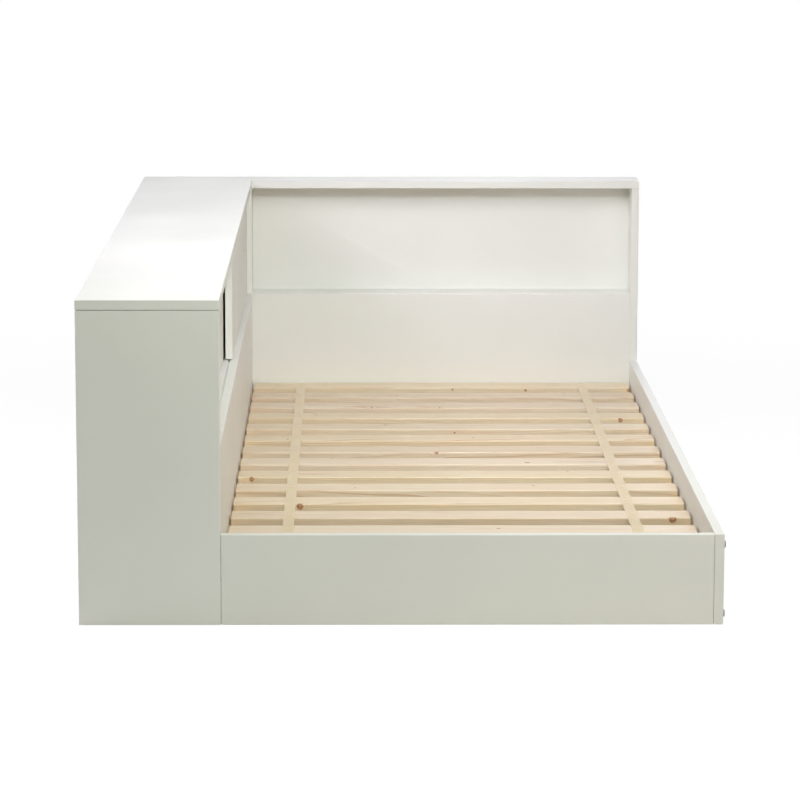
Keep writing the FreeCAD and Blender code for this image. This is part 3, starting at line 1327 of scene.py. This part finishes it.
@dataclass
class SlattedBase:
    """Pine slats on two battens, held at their spacing by two stapled ribbons."""

    nodes: Mapping[str, bpy.types.Object]
    slat_count: int = 14
    edge_radius: float = 3.0 * MM
    end_radius: float = 0.8 * MM
    ribbon_rows: int = 6
    ribbon_sag: float = 1.6 * MM
    ribbon_edge: float = 0.3 * MM
    # share of the open span that moves down, and share of the sag that it moves by
    ribbon_steps: tuple[tuple[float, float], ...] = ((0.9, 0.35), (0.6, 0.35), (0.32, 0.3))
    staple_crown: float = 10.0 * MM
    staple_wire: float = 1.3 * MM
    staple_height: float = 0.6 * MM
    staple_inset: float = 16.0 * MM
    staple_leg: float = 0.4 * MM
    staple_edge: float = 0.3 * MM
    # each slat's pattern is turned on by the golden angle, so that no two are alike
    log_turn: float = 2.399963
    pith_beside_mm: float = 34.0
    pith_below_mm: float = 46.0
    pith_rise_mm: float = 22.0
    rings_mm: tuple[float, float] = (3.6, 5.2)
    plain_contrast: float = 0.75
    contrast_range: float = 0.25
    batten_chamfer: float = 1.2 * MM
    batten_easing: float = 0.5 * MM
    tones: tuple[tuple[str, str, str], ...] = (
        ("#EADBBF", "#BF8A52", "#E6CDAC"),
        ("#E9D9B9", "#C58F50", "#E5CFA8"),
        ("#ECDDC3", "#BC895A", "#E9CFB1"),
        ("#E7D6BB", "#B7844D", "#E2CAA9"),
        ("#EBDBBC", "#C58E4C", "#E7CDA5"),
    )
    knots: Mapping[int, tuple[Knot, ...]] = field(
        default_factory=lambda: {
            1: (Knot(-150, 12, 8, 6), Knot(260, -30, 4, 5)),
            2: (Knot(-330, 20, 9, 4, False), Knot(70, 4, 8, 5)),
            3: (Knot(419, -36, 6, 9), Knot(-40, 22, 8, 3)),
            4: (Knot(-321, -36, 3, 8), Knot(330, 28, 8, 5, False)),
            5: (Knot(160, 10, 9, 4), Knot(-210, -10, 9, 3)),
            6: (Knot(-427, -36, 4, 6), Knot(240, 24, 8, 4)),
            7: (Knot(160, -15, 8, 7), Knot(-260, 30, 8, 3, False)),
            8: (Knot(-32, -34, 8, 6), Knot(350, 6, 9, 3)),
            9: (Knot(54, 0, 8, 3.5), Knot(-360, -20, 9, 4)),
            10: (Knot(15, -36, 0, 3), Knot(-140, 18, 9, 5, False)),
            11: (Knot(401, -36, 4, 6), Knot(-300, 8, 9, 4)),
            12: (Knot(-171, -33, 8, 4), Knot(-12, -33, 8, 3.5)),
            13: (Knot(-111, -7, 9, 4), Knot(290, 22, 9, 4, False)),
            14: (Knot(26, -36, 4, 3), Knot(203, -36, 2, 4), Knot(453, -36, 2, 5, False)),
        }
    )

    def slat_finish(self, number: int, middle: Vector) -> bpy.types.Material:
        """Return the pine of one slat, each from its own place in its own log.

        Args:
            number: The slat's number, 1 at the foot.
            middle: The slat's middle.

        Returns:
            Its material.
        """
        turn = number * self.log_turn
        early, late, blush = self.tones[number % len(self.tones)]
        narrow, wide = self.rings_mm
        return PlanedPine(
            f"planed_pine_{number:02d}",
            middle_mm=tuple(middle / MM),
            pith_mm=(
                self.pith_beside_mm * math.cos(turn),
                -self.pith_below_mm + self.pith_rise_mm * math.sin(turn * 1.7),
            ),
            tilt=(0.010 + 0.012 * math.sin(turn * 0.9), 0.022 * math.cos(turn * 1.3)),
            ring_mm=narrow + (wide - narrow) * (0.5 + 0.5 * math.sin(turn * 2.1)),
            contrast=self.plain_contrast + self.contrast_range * math.sin(turn * 3.3),
            early=early,
            late=late,
            blush=blush,
            knots=self.knots.get(number, ()),
        ).build()

    def model_slat(self, low: Vector, high: Vector) -> bpy.types.Object:
        """Model a planed slat with rounded long edges and eased ends."""
        slat = Bench.box("slat", low, high)
        half_length = (high.x - low.x) / 2
        Bench.bevel(
            slat, self.edge_radius, 5, lambda one, two: abs(one.x - two.x) > half_length
        )
        Bench.bevel(
            slat,
            self.end_radius,
            2,
            lambda one, two: abs(one.x - two.x) < SAME_PLACE
            and min(abs(one.x - low.x), abs(one.x - high.x)) < SAME_PLACE,
        )
        return slat

    def lay_slats(self) -> list[Vector]:
        """Lay the slats in the places of the frame's solids.

        Returns:
            The middle of each slat's top.
        """
        tops = []
        low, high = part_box("slat_01")
        pattern = self.model_slat(low, high)
        for number in range(1, self.slat_count + 1):
            node = f"slat_{number:02d}"
            near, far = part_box(node)
            piece = Bench.copy(pattern, f"pine_{node}", Matrix.Translation(near - low))
            middle = (near + far) / 2
            Bench.hand_over(piece, self.slat_finish(number, middle), Body.FRAME, Slot.PINE)
            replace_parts(piece, node)
            tops.append(Vector((middle.x, middle.y, far.z)))
        bpy.data.objects.remove(pattern)
        return tops

    def model_ribbon(self, name: str, node: str, tops: Sequence[Vector]) -> bpy.types.Object:
        """Model one ribbon: flat on the slats and slightly slack between them.

        Args:
            name: Name of the piece.
            node: The solid that it stands for.
            tops: The middle of each slat's top.

        Returns:
            The ribbon.
        """
        low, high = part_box(node)
        slat_low, slat_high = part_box("slat_01")
        pitch = tops[1].y - tops[0].y
        half = (slat_high.y - slat_low.y) / 2
        bpy.ops.object.select_all(action="DESELECT")
        bpy.ops.mesh.primitive_grid_add(
            x_subdivisions=4,
            y_subdivisions=(len(tops) - 1) * self.ribbon_rows * 2,
            size=1.0,
            location=((low.x + high.x) / 2, (low.y + high.y) / 2, high.z),
        )
        bpy.context.object.scale = (high.x - low.x, high.y - low.y, 1.0)
        ribbon = Bench.settle(bpy.context.object, name)
        for first in tops[:-1]:
            start = first.y + half
            span = pitch - 2 * half
            for share, depth in self.ribbon_steps:
                reach = span * share / 2
                Bench.pick_edges(
                    ribbon,
                    lambda one, two, middle=start + span / 2, reach=reach: max(
                        abs(one.y - middle), abs(two.y - middle)
                    )
                    < reach,
                )
                bpy.ops.transform.translate(value=(0, 0, -self.ribbon_sag * depth))
                Bench.leave()
        Bench.modify(ribbon, "SOLIDIFY", thickness=(high.z - low.z), offset=-1.0)
        Bench.modify(
            ribbon, "BEVEL", width=self.ribbon_edge, segments=2, limit_method="ANGLE"
        )
        return ribbon

    def model_staple(self) -> bpy.types.Object:
        """Model the crown of a staple, pressed into the ribbon."""
        half = self.staple_crown / 2
        staple = Bench.box(
            "staple",
            Vector((-half, -self.staple_wire / 2, -self.staple_leg)),
            Vector((half, self.staple_wire / 2, self.staple_height)),
        )
        Bench.bevel(staple, self.staple_edge, 2, lambda one, two: one.z > 0 and two.z > 0)
        return staple

    def lay_ribbons(self, tops: Sequence[Vector]) -> None:
        """Lay both ribbons and staple them to every slat.

        Args:
            tops: The middle of each slat's top.
        """
        cloth = WovenRibbon("woven_ribbon").build()
        wire = BareMetal(
            "lacquered_wire", colour="#DDCEB2", dull="#C6B595", roughness=0.5
        ).build()
        for side in ("left", "right"):
            node = f"webbing_{side}"
            low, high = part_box(node)
            ribbon = self.model_ribbon(f"ribbon_{side}", node, tops)
            Bench.hand_over(ribbon, cloth, Body.FRAME, Slot.RIBBON)
            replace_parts(ribbon, node)
            staple = self.model_staple()
            middle = (low.x + high.x) / 2
            copies = [
                Bench.copy(
                    staple,
                    f"staple_{side}_{number}_{place}",
                    Matrix.Translation((middle, top.y + place * self.staple_inset, high.z)),
                )
                for number, top in enumerate(tops)
                for place in (-1, 1)
            ]
            bpy.data.objects.remove(staple)
            Bench.hand_over(
                Bench.join(copies, f"staples_{side}"), wire, Body.FRAME, Slot.STEEL
            )

    def dress_battens(self) -> None:
        """Give both battens the pine of a long straight-grained stick."""
        for number, node in enumerate(("cabinet_cleat", "rail_cleat"), start=1):
            low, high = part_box(node)
            middle = (low + high) / 2 / MM
            finish = BattenPine(f"batten_pine_{number}", middle_mm=tuple(middle)).build()
            batten = Bench.eased_copy(
                self.nodes[node], f"pine_{node}", self.batten_chamfer, self.batten_easing
            )
            Bench.hand_over(batten, finish, Body.FRAME, Slot.PINE)
            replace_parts(batten, node)

    def build(self) -> None:
        """Lay the whole base."""
        tops = self.lay_slats()
        self.lay_ribbons(tops)
        self.dress_battens()


@dataclass
class Head:
    """One kind of round head with a drive, modelled once along +Z."""

    name: str
    radius: float
    height: float
    drive: Drive
    drive_size: float
    drive_depth: float
    dome: float = 0.0
    shank_radius: float = 0.0
    shank_length: float = 0.0
    sides: int = 48

    def model(self) -> bpy.types.Object:
        """Model the head, its seat at the origin and its top along +Z."""
        head = Bench.disc(self.name, self.radius, 0.0, self.height, self.sides)
        if self.dome:
            Bench.bevel(head, self.dome, 6, Bench.top_rim(self.height))
        if self.shank_length:
            Bench.pick_faces(head, lambda centre, normal: normal.z < -0.9)
            bpy.ops.mesh.inset(thickness=self.radius - self.shank_radius, depth=0)
            bpy.ops.mesh.extrude_region_move(
                TRANSFORM_OT_translate={"value": (0, 0, -self.shank_length)}
            )
            Bench.leave()
        for cutter in self.cutters():
            Bench.carve(head, cutter)
        return head

    def cutters(self) -> list[bpy.types.Object]:
        """Return the bodies that cut the drive's recess."""
        floor = self.height - self.drive_depth
        over = self.height + 1.0 * MM
        if self.drive is Drive.HEXAGON:
            reach = self.drive_size / 2 / math.cos(math.pi / 6)
            return [Bench.disc("key", reach, floor, over, 6)]
        half, width = self.drive_size / 2, self.drive_size / 9
        reaches = [(half, width)]
        if self.drive is Drive.CROSS:
            reaches.append((width, half))
        return [
            Bench.box("blade", Vector((-x, -y, floor)), Vector((x, y, over))) for x, y in reaches
        ]


@dataclass
class Fittings:
    """Bolts, nuts, cams, brackets and the screws that hold them."""

    nodes: Mapping[str, bpy.types.Object]
    # faces of the boards that the fittings sit on
    bed_x: float = -0.338
    rail_x: float = 0.582
    outer_x: float = 0.600
    foot_inner_y: float = -1.046
    head_y: float = 0.964
    bracket_height: float = 35.0 * MM
    bracket_thickness: float = 2.5 * MM
    bracket_screw: float = 25.0 * MM
    batten_screw_spacing: float = 236.0 * MM
    cam_radius: float = 7.5 * MM
    cam_depth: float = 12.5 * MM
    smooth_degrees: float = 35.0
    # middle of each cam's mouth, and the way that its face looks
    cams: tuple[tuple[tuple[float, float, float], tuple[float, float, float]], ...] = (
        ((-0.356, -1.012, 0.060), (-1, 0, 0)),
        ((-0.4705, -1.046, 0.560), (0, 1, 0)),
        ((-0.356, 1.012, 0.060), (-1, 0, 0)),
        ((-0.4705, 1.046, 0.560), (0, -1, 0)),
        ((-0.304, 0.982, 0.060), (0, 1, 0)),
        ((0.548, 0.982, 0.060), (0, 1, 0)),
        ((-0.304, -1.046, 0.086), (0, 1, 0)),
    )

    def set_heads(
        self,
        head: Head,
        name: str,
        seats: Sequence[tuple[Vector, Vector]],
        finish: bpy.types.Material,
        slot: Slot,
    ) -> bpy.types.Object:
        """Set copies of one head and join them.

        Args:
            head: The kind of head.
            name: Name of the joined piece.
            seats: Seat and axis of each copy.
            finish: Their material.
            slot: The record's slot.

        Returns:
            The joined piece.
        """
        pattern = head.model()
        copies = [
            Bench.copy(pattern, f"{name}_{number}", turned_to(seat, axis))
            for number, (seat, axis) in enumerate(seats)
        ]
        bpy.data.objects.remove(pattern)
        piece = Bench.join(copies, name)
        return Bench.hand_over(piece, finish, Body.FRAME, slot, self.smooth_degrees)

    def set_bolts(self, steel: bpy.types.Material) -> None:
        """Set the two rail bolts and their nuts."""
        low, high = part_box("rail_bolts")
        radius = (high.y - low.y) / 2
        heights = (low.z + radius, high.z - radius)
        middle = (low.y + high.y) / 2
        bolt = Head(
            "rail_bolt",
            radius=radius,
            height=high.x - self.outer_x,
            drive=Drive.HEXAGON,
            drive_size=4.0 * MM,
            drive_depth=2.0 * MM,
            dome=2.6 * MM,
            shank_radius=3.0 * MM,
            shank_length=55.0 * MM,
        )
        seats = [(Vector((self.outer_x, middle, z)), Vector((1, 0, 0))) for z in heights]
        bolts = self.set_heads(bolt, "button_head_bolts", seats, steel, Slot.STEEL)
        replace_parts(bolts, "rail_bolts")
        low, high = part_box("barrel_nuts")
        nut = Head(
            "barrel_nut",
            radius=(high.x - low.x) / 2,
            height=high.y - low.y,
            drive=Drive.SLOT,
            drive_size=8.0 * MM,
            drive_depth=1.2 * MM,
            dome=0.5 * MM,
        )
        seats = [
            (Vector(((low.x + high.x) / 2, low.y, z)), Vector((0, 1, 0))) for z in heights
        ]
        nuts = self.set_heads(nut, "slotted_barrel_nuts", seats, steel, Slot.STEEL)
        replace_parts(nuts, "barrel_nuts")

    def set_cams(self, zinc: bpy.types.Material) -> None:
        """Set the cams, their crosses flush with the boards."""
        cam = Head(
            "cam",
            radius=self.cam_radius,
            height=self.cam_depth,
            drive=Drive.CROSS,
            drive_size=8.4 * MM,
            drive_depth=3.0 * MM,
            dome=0.4 * MM,
        )
        seats = [
            (Vector(mouth) - Vector(face) * self.cam_depth, Vector(face))
            for mouth, face in self.cams
        ]
        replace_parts(self.set_heads(cam, "cross_cams", seats, zinc, Slot.ZINC), "cam_locks")

    def set_screws(self, steel: bpy.types.Material) -> None:
        """Screw the brackets to the boards and the battens to their sides."""
        pan = Head(
            "pan_screw",
            radius=4.0 * MM,
            height=2.2 * MM,
            drive=Drive.CROSS,
            drive_size=4.4 * MM,
            drive_depth=1.4 * MM,
            dome=1.6 * MM,
        )
        seats = []
        for corner_x, inward_x, corner_y, inward_y in (
            (self.bed_x, 1, self.foot_inner_y, 1),
            (self.bed_x, 1, self.head_y, -1),
            (self.rail_x, -1, self.head_y, -1),
        ):
            corner = Vector((corner_x, corner_y, self.bracket_height))
            along_x, along_y = Vector((inward_x, 0, 0)), Vector((0, inward_y, 0))
            for reach, face in ((along_x, along_y), (along_y, along_x)):
                seat = corner + reach * self.bracket_screw + face * self.bracket_thickness
                seats.append((seat, face))
        self.set_heads(pan, "bracket_screws", seats, steel, Slot.STEEL)
        flush = Head(
            "flush_screw",
            radius=4.0 * MM,
            height=0.5 * MM,
            drive=Drive.CROSS,
            drive_size=4.6 * MM,
            drive_depth=0.4 * MM,
            dome=0.2 * MM,
        )
        seats = []
        for node, inward in (("cabinet_cleat", 1), ("rail_cleat", -1)):
            low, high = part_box(node)
            face = high.x if inward > 0 else low.x
            count = int((high.y - low.y) // self.batten_screw_spacing)
            margin = ((high.y - low.y) - (count - 1) * self.batten_screw_spacing) / 2
            for number in range(count):
                along = low.y + margin + number * self.batten_screw_spacing
                seat = Vector((face, along, (low.z + high.z) / 2))
                seats.append((seat, Vector((inward, 0, 0))))
        self.set_heads(flush, "batten_screws", seats, steel, Slot.STEEL)

    def build(self) -> None:
        """Set every fitting and dress those that stay as solids."""
        steel = BareMetal("zinc_plated_steel").build()
        # the bolts' steel is given a darker colour than the other steel: painted dim reflection on
        # the bolt heads
        bolt_steel = BareMetal(
            "darkened_bolt_steel", colour="#8F9092", dull="#66676A"
        ).build()
        zinc = BareMetal(
            "die_cast_zinc", colour="#B9BABB", dull="#8F9091", roughness=0.42
        ).build()
        dress(self.nodes, ("corner_brackets", "cam_studs"), steel)
        dress(self.nodes, ("loose_tongues",), SandedBeech("sanded_beech").build())
        self.set_bolts(bolt_steel)
        self.set_cams(zinc)
        self.set_screws(steel)


# ---- studio -----------------------------------------------------------------


@dataclass(frozen=True)
class Softbox:
    """One rectangular lamp, aimed at a point."""

    name: str
    place: tuple[float, float, float]
    aim: tuple[float, float, float]
    size: tuple[float, float]
    watts: float
    spread_degrees: float = 180.0
    colour: str = "#FFFFFF"

    def build(self) -> bpy.types.Object:
        """Hang the lamp."""
        lamp = bpy.data.lights.new(self.name, "AREA")
        lamp.shape = "RECTANGLE"
        lamp.size, lamp.size_y = self.size
        lamp.energy = self.watts
        lamp.color = linear(self.colour)[:3]
        lamp.spread = math.radians(self.spread_degrees)
        holder = bpy.data.objects.new(self.name, lamp)
        bpy.context.scene.collection.objects.link(holder)
        holder.visible_camera = False
        holder.location = self.place
        direction = Vector(self.aim) - Vector(self.place)
        holder.rotation_euler = direction.to_track_quat("-Z", "Y").to_euler()
        return holder


def add_seen_white(tree: bpy.types.NodeTree) -> bpy.types.NodeSocket:
    """Tell the rays that see the background from those that light the object.

    Args:
        tree: Node tree of the paper or the room.

    Returns:
        1 for the camera's rays and for those seen in a gloss or through glass, else 0.
    """
    path = add_node(tree, "ShaderNodeLightPath")
    seen = path.outputs["Is Camera Ray"]
    for ray in ("Is Glossy Ray", "Is Transmission Ray"):
        seen = add_node(
            tree, "ShaderNodeMath", {0: seen, 1: path.outputs[ray]}, operation="MAXIMUM"
        ).outputs[0]
    return seen


@dataclass(frozen=True)
class StudioPaper(Finish):
    """Seamless white paper: white to the camera, with a soft shadow near the object.

    Near the object the eye sees a share of the real light on it, which is what
    carries the shadow.  Further out it is plain white.
    """

    colour: str = "#E4E4E2"
    own_white: float = 0.95
    share: float = 0.10
    shadow_reach: float = 1.5
    shadow_end: float = 3.2

    def build(self) -> bpy.types.Material:
        """Return the paper as a material."""
        material, tree = self.begin()
        seen = add_seen_white(tree)
        place = add_node(tree, "ShaderNodeTexCoord").outputs["Object"]
        away = add_node(tree, "ShaderNodeVectorMath", {0: place}, operation="LENGTH")
        far = add_node(
            tree,
            "ShaderNodeMapRange",
            {
                "Value": away.outputs[1],
                "From Min": self.shadow_reach,
                "From Max": self.shadow_end,
            },
            interpolation_type="SMOOTHSTEP",
        )
        plain = add_node(tree, "ShaderNodeBsdfDiffuse", {"Color": linear(self.colour)})
        shadow = add_node(tree, "ShaderNodeBsdfDiffuse", {"Color": (*(self.share,) * 3, 1.0)})
        glow = add_node(
            tree, "ShaderNodeEmission", {"Color": (1.0,) * 4, "Strength": self.own_white}
        )
        near_white = add_node(
            tree, "ShaderNodeAddShader", {0: glow.outputs[0], 1: shadow.outputs[0]}
        )
        far_white = add_node(tree, "ShaderNodeEmission", {"Color": (1.0,) * 4, "Strength": 1.0})
        white = add_node(
            tree,
            "ShaderNodeMixShader",
            {0: far.outputs[0], 1: near_white.outputs[0], 2: far_white.outputs[0]},
        )
        mix = add_node(
            tree,
            "ShaderNodeMixShader",
            {0: seen, 1: plain.outputs[0], 2: white.outputs[0]},
        )
        add_node(tree, "ShaderNodeOutputMaterial", {"Surface": mix.outputs[0]})
        return material


@dataclass
class Studio:
    """White paper, soft light and the camera of the photograph."""

    camera_place: tuple[float, float, float] = (-0.0882, -7.3042, 1.5080)
    yaw_degrees: float = -0.7634
    pitch_degrees: float = -9.8342
    roll_degrees: float = 0.1100
    lens_mm: float = 154.41
    sensor_mm: float = 36.0
    clip_end: float = 100.0
    paper_size: float = 40.0
    ambient: float = 0.03
    room_tint: tuple[float, float, float, float] = (0.98, 0.99, 1.0, 1.0)
    lamps: tuple[Softbox, ...] = (
        Softbox(
            "right_top_box", (0.8, -1.3, 2.2), (0.8, -1.3, 0.0), (1.4, 1.2), 15.9, 180.0, "#FFFDF7"
        ),
        Softbox(
            "foot_softbox", (0.0, -2.6, 2.4), (0.0, -0.8, 0.3), (1.6, 1.2), 27.9, 180.0, "#F6FFEF"
        ),
        Softbox(
            "low_foot_box", (2.6, -4.2, 1.3), (0.3, -1.0, 0.2), (1.6, 1.4), 19.7, 180.0, "#FFE7E5"
        ),
        Softbox(
            "slat_front_box", (1.7, -3.3, 1.7), (0.4, -0.1, 0.1), (0.8, 0.6), 0.55, 40.0, "#FFF4EA"
        ),
        Softbox(
            "left_high_box", (-1.8, -0.6, 1.7), (0.2, 0.3, 0.3), (1.0, 1.0), 22.5, 180.0, "#F5EDFF"
        ),
        Softbox("slat_box", (0.2, 0.1, 1.7), (0.2, 0.1, 0.0), (0.5, 1.8), 1.9, 55.0, "#F5F0FF"),
        Softbox(
            "niche_box", (0.0, -2.3, 1.8), (0.15, 0.964, 0.35), (0.35, 0.25), 2.2, 50.0, "#EEF3FF"
        ),
        Softbox("side_fill", (-3.4, 0.2, 1.3), (-0.6, 0.0, 0.3), (2.0, 1.6), 17.0),
        Softbox("right_fill", (3.4, 0.2, 0.9), (0.0, 0.0, 0.25), (2.0, 1.2), 9.0, 180.0, "#FFF0E6"),
        Softbox("back_fill", (0.2, 4.4, 1.5), (0.0, 1.0, 0.3), (2.4, 1.6), 14.0),
    )

    def lay_paper(self) -> None:
        """Lay the paper under the object."""
        bpy.ops.object.select_all(action="DESELECT")
        bpy.ops.mesh.primitive_plane_add(size=self.paper_size, location=(0, 0, 0))
        paper = Bench.settle(bpy.context.object, "studio_paper")
        paper.data.materials.append(StudioPaper("seamless_paper").build())

    def light(self) -> None:
        """Hang the lamps and set the light of the room."""
        for lamp in self.lamps:
            lamp.build()
        world = bpy.data.worlds.new("studio_room")
        bpy.context.scene.world = world
        world.use_nodes = True
        tree = world.node_tree
        tree.nodes.clear()
        seen = add_seen_white(tree)
        room = add_node(
            tree,
            "ShaderNodeBackground",
            {"Color": self.room_tint, "Strength": self.ambient},
        )
        white = add_node(
            tree, "ShaderNodeBackground", {"Color": (1.0,) * 4, "Strength": 1.0}
        )
        mix = add_node(
            tree,
            "ShaderNodeMixShader",
            {0: seen, 1: room.outputs[0], 2: white.outputs[0]},
        )
        add_node(tree, "ShaderNodeOutputWorld", {"Surface": mix.outputs[0]})

    def set_camera(self) -> None:
        """Stand the camera where the photograph was taken from."""
        data = bpy.data.cameras.new("photo_camera")
        data.sensor_width = self.sensor_mm
        data.lens = self.lens_mm
        data.clip_end = self.clip_end
        camera = bpy.data.objects.new("photo_camera", data)
        bpy.context.scene.collection.objects.link(camera)
        yaw = Matrix.Rotation(math.radians(self.yaw_degrees), 4, "Z")
        pitch = Matrix.Rotation(math.radians(90.0 + self.pitch_degrees), 4, "X")
        roll = Matrix.Rotation(math.radians(self.roll_degrees), 4, "Z")
        camera.matrix_world = Matrix.Translation(self.camera_place) @ yaw @ pitch @ roll
        bpy.context.scene.camera = camera

    def build(self) -> None:
        """Set up the whole studio."""
        bpy.context.scene.view_settings.view_transform = "Standard"
        self.lay_paper()
        self.light()
        self.set_camera()


def main() -> None:
    """Dress the frame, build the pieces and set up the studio."""
    logging.basicConfig(level=logging.INFO, format="%(levelname)s %(message)s")
    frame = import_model()
    nodes = frame["nodes"]
    Studio().build()
    for assembly in (Boards(nodes), DoorHardware(nodes), SlattedBase(nodes), Fittings(nodes)):
        LOG.info("building %s", type(assembly).__name__)
        assembly.build()


if __name__ == "__main__":
    main()
